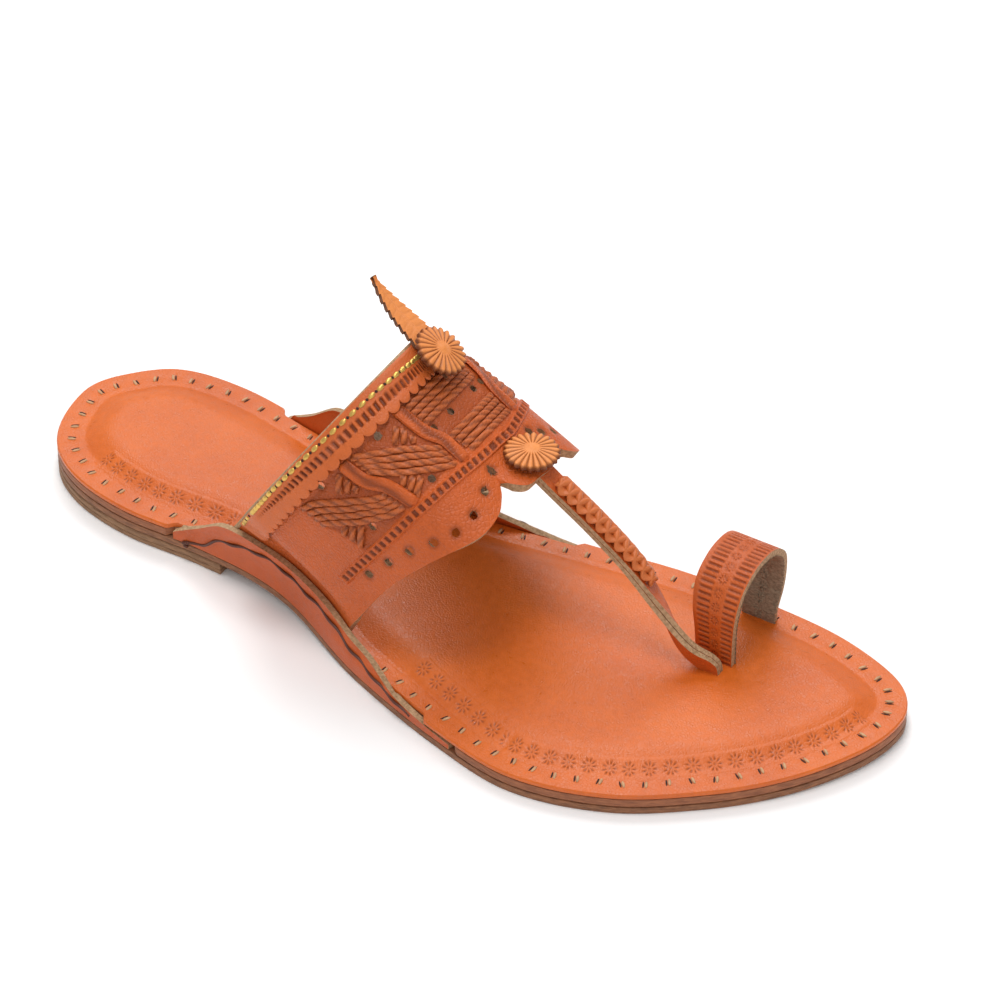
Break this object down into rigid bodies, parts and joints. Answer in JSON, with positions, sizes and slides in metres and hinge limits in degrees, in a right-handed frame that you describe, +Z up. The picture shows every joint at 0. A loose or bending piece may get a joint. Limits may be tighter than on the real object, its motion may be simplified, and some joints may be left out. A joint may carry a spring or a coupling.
{
  "type": "kolhapuri chappal",
  "caption": "Flat leather kolhapuri sandal for the right foot, with a woven instep band, side flaps, a braided toe strap, a toe loop and rosettes.",
  "frame": {"origin": "on the floor under the middle of the heel, on the foot's axis", "axes": "+X from the heel to the toes, +Y to the big-toe side, +Z up"},
  "size_m": [0.265, 0.0953, 0.095],
  "materials": {
    "heel_leather": "matte stacked leather",
    "sole_leather": "matte cut edge, tanned leather",
    "midsole_leather": "dyed cut edge",
    "insole_leather": "smooth oiled leather, soft sheen",
    "flap_leather": "grained leather, soft sheen",
    "band_leather": "grained leather with raised woven cords",
    "strip_leather": "slotted and scalloped leather with a gold line",
    "plait_leather": "braided leather strands",
    "trim_leather": "pale tooled leather",
    "loop_leather": "stamped leather, suede inside"
  },
  "bodies": {
    "root": {"heel_lift": "heel_leather", "outsole": "sole_leather", "midsole": "midsole_leather", "insole": "insole_leather", "flap_lateral": "flap_leather", "flap_medial": "flap_leather", "upper": "band_leather", "edge_strip": "strip_leather", "plait": "plait_leather", "rosette_rear": "trim_leather", "rosette_front": "trim_leather", "feather": "trim_leather", "toe_loop": "loop_leather"}
  },
  "joints": []
}
